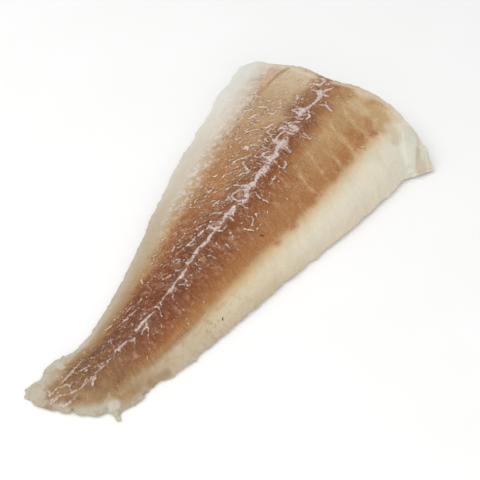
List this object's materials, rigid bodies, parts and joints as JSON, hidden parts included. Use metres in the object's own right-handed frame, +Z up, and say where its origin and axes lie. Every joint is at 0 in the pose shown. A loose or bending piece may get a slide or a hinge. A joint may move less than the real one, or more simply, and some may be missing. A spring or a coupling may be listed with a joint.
{
  "type": "cod tail fillet",
  "caption": "Raw skinned white-fish tail fillet lying skin side up, with a brown lateral band, a silvery spine streak and pale margins.",
  "frame": {"origin": "under the middle of the fillet, on the surface that it lies on", "axes": "+X along the fillet from the tail to the wide cut end, +Y to the back edge of the fish, +Z up through the thickness to the skin side"},
  "size_m": [0.2274, 0.117, 0.0211],
  "materials": {
    "flesh": "moist raw fish flesh, translucent, satin to glossy"
  },
  "bodies": {
    "root": {"fillet": "flesh"}
  },
  "joints": []
}
